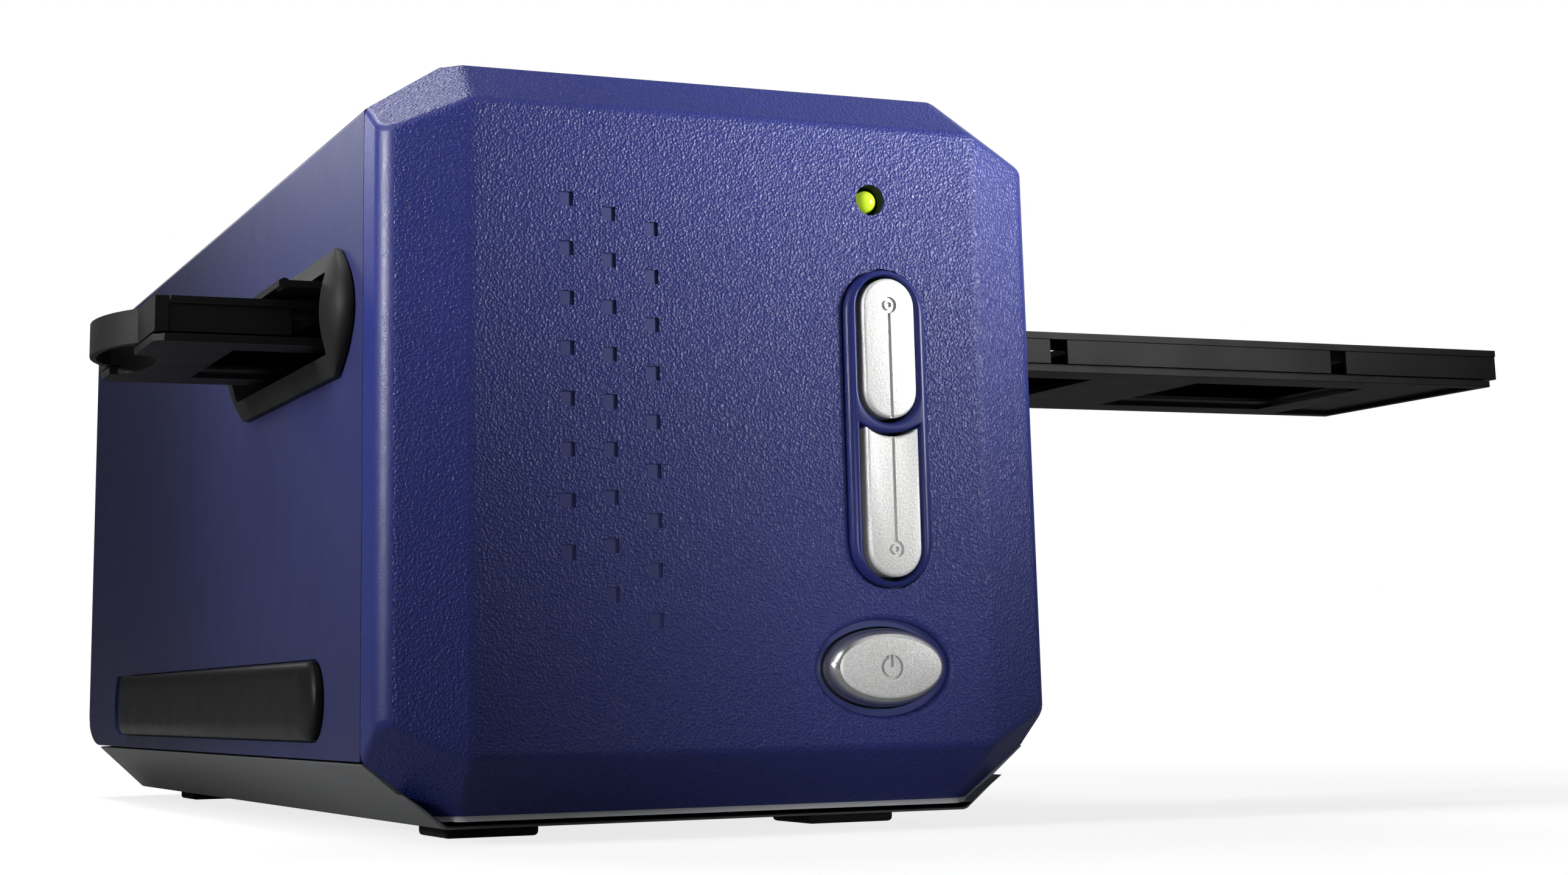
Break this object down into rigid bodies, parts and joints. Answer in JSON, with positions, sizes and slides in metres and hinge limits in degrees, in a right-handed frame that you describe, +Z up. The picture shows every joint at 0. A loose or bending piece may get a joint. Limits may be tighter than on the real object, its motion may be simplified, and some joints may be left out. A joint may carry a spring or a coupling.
{
  "type": "film negative scanner",
  "caption": "Desktop scanner for 35 mm film: a box with a chamfered blue front, buttons and a status light, and a long film holder that slides through two framed side slots.",
  "frame": {"origin": "middle of the base tray's flat underside", "axes": "+Z up, front with the buttons towards -Y, the film holder runs along X with its finger slot at -X"},
  "size_m": [0.2612, 0.2725, 0.1178],
  "materials": {
    "blue_paint": "fine leather-like grain, blue lacquer",
    "glossy_blue": "high gloss",
    "silver_paint": "fine satin metallic lacquer",
    "black_plastic": "satin moulded",
    "black_rubber": "matt",
    "satin_silver": "satin silver lacquer",
    "green_lens": "clear lens, lit yellow green",
    "board_green": "solder resist",
    "steel": "plain",
    "brass": "turned",
    "clear_glass": "polished",
    "lamp_white": "diffusing"
  },
  "bodies": {
    "frame": {"front_bezel": "blue_paint", "button_surround": "glossy_blue", "status_light": "green_lens", "button_board": "board_green", "upper_button_switch": "black_plastic", "lower_button_switch": "black_plastic", "power_switch": "black_plastic", "housing": "blue_paint", "slot_frame_left": "black_plastic", "slot_frame_right": "black_plastic", "door_pin_left": "steel", "door_spring_left": "steel", "door_pin_right": "steel", "door_spring_right": "steel", "side_pad_left": "black_rubber", "side_pad_right": "black_rubber", "base_tray": "silver_paint", "foot_front_left": "black_rubber", "foot_rear_left": "black_rubber", "foot_front_right": "black_rubber", "foot_rear_right": "black_rubber", "rear_panel": "silver_paint", "dc_jack": "black_plastic", "usb_socket": "steel", "main_board": "board_green", "chassis": "steel", "base_screw_front_left": "steel", "base_screw_rear_left": "steel", "base_screw_front_right": "steel", "base_screw_rear_right": "steel", "film_stage": "black_plastic", "light_mask": "black_plastic", "holder_detent_spring": "steel", "guide_rod_left": "steel", "guide_rod_right": "steel", "screw_bush": "brass", "stepper_motor": "steel"},
    "holder": {"holder_base": "black_plastic", "holder_frame": "black_plastic", "holder_cover": "black_plastic"},
    "upper_button": {"upper_scan_button": "satin_silver"},
    "lower_button": {"lower_scan_button": "satin_silver"},
    "power_key": {"power_button": "satin_silver"},
    "left_door": {"dust_door_left": "black_plastic"},
    "right_door": {"dust_door_right": "black_plastic"},
    "carriage": {"carriage_deck": "black_plastic", "slide_bush_front_left": "brass", "slide_bush_rear_left": "brass", "slide_bush_right": "brass", "drive_nut": "brass", "carriage_post": "black_plastic", "lamp_arm": "black_plastic", "lamp_board": "board_green", "lamp_diffuser": "lamp_white", "fold_mirror": "clear_glass", "lens_barrel": "black_plastic", "lens_glass": "clear_glass", "line_sensor": "black_plastic", "sensor_board": "board_green"},
    "screw": {"lead_screw": "steel"}
  },
  "joints": [
    {"name": "holder_slide", "type": "slide", "parent": "frame", "child": "holder", "axis": [1, 0, 0], "range_m": [-0.235, 0.155]},
    {"name": "upper_button_press", "type": "slide", "parent": "frame", "child": "upper_button", "axis": [0, 1, 0], "range_m": [0, 0.0008], "stiffness_N_per_m": 1500},
    {"name": "lower_button_press", "type": "slide", "parent": "frame", "child": "lower_button", "axis": [0, 1, 0], "range_m": [0, 0.0008], "stiffness_N_per_m": 1500},
    {"name": "power_button_press", "type": "slide", "parent": "frame", "child": "power_key", "axis": [0, 1, 0], "range_m": [0, 0.0008], "stiffness_N_per_m": 1500},
    {"name": "left_door_hinge", "type": "hinge", "parent": "frame", "child": "left_door", "pos_m": [-0.052, -0.077, 0.0827], "axis": [0, 1, 0], "range_deg": [0, 8], "stiffness_Nm_per_rad": 0.002, "springref_deg": -84.8},
    {"name": "right_door_hinge", "type": "hinge", "parent": "frame", "child": "right_door", "pos_m": [0.052, -0.077, 0.0827], "axis": [0, 1, 0], "range_deg": [0, 8], "stiffness_Nm_per_rad": 0.002, "springref_deg": -84.8},
    {"name": "carriage_slide", "type": "slide", "parent": "frame", "child": "carriage", "axis": [0, 1, 0], "range_m": [0, 0.03]},
    {"name": "lead_screw_spin", "type": "hinge", "parent": "frame", "child": "screw", "pos_m": [-0.022, -0.01, 0.032], "axis": [0, 1, 0], "range_deg": [0, 1801]}
  ],
  "couplings": [
    {"joint": "lead_screw_spin", "follows": "carriage_slide", "rad_per_m": 1047.2}
  ]
}
